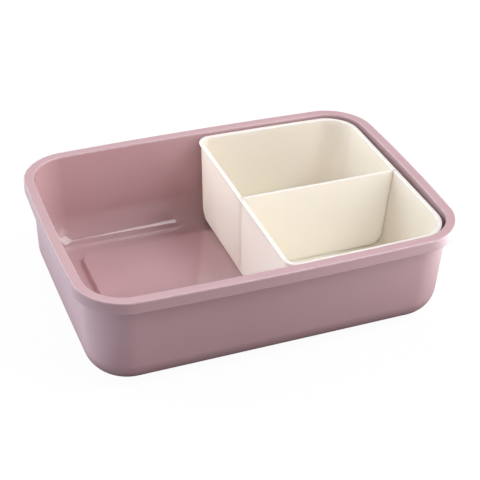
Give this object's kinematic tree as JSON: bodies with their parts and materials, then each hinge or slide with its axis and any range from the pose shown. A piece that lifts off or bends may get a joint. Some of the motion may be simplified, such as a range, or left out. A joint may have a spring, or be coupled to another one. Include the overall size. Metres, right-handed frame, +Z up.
{
  "type": "open lunch box with a divided insert tray",
  "caption": "Rectangular lunch box with rounded corners and a wide skirted rim, a lift-out tray filling its right half, and a lift-out divider standing in the tray.",
  "frame": {"origin": "on the ground, under the middle of the outer box", "axes": "+X along the length towards the tray, -Y towards the front, +Z up"},
  "size_m": [0.2556, 0.181, 0.0704],
  "materials": {
    "box_plastic": "dusty pink polypropylene, fine satin outside and polished inside",
    "tray_plastic": "cream polypropylene, semi-gloss",
    "divider_plastic": "cream polypropylene, semi-gloss"
  },
  "bodies": {
    "box": {"outer_box": "box_plastic"},
    "tray": {"insert_tray": "tray_plastic"},
    "divider_plate": {"divider": "divider_plastic"}
  },
  "joints": [
    {"name": "tray_lift", "type": "slide", "parent": "box", "child": "tray", "axis": [0, 0, 1], "range_m": [0, 0.08]},
    {"name": "divider_lift", "type": "slide", "parent": "tray", "child": "divider_plate", "axis": [0, 0, 1], "range_m": [0, 0.075]}
  ]
}
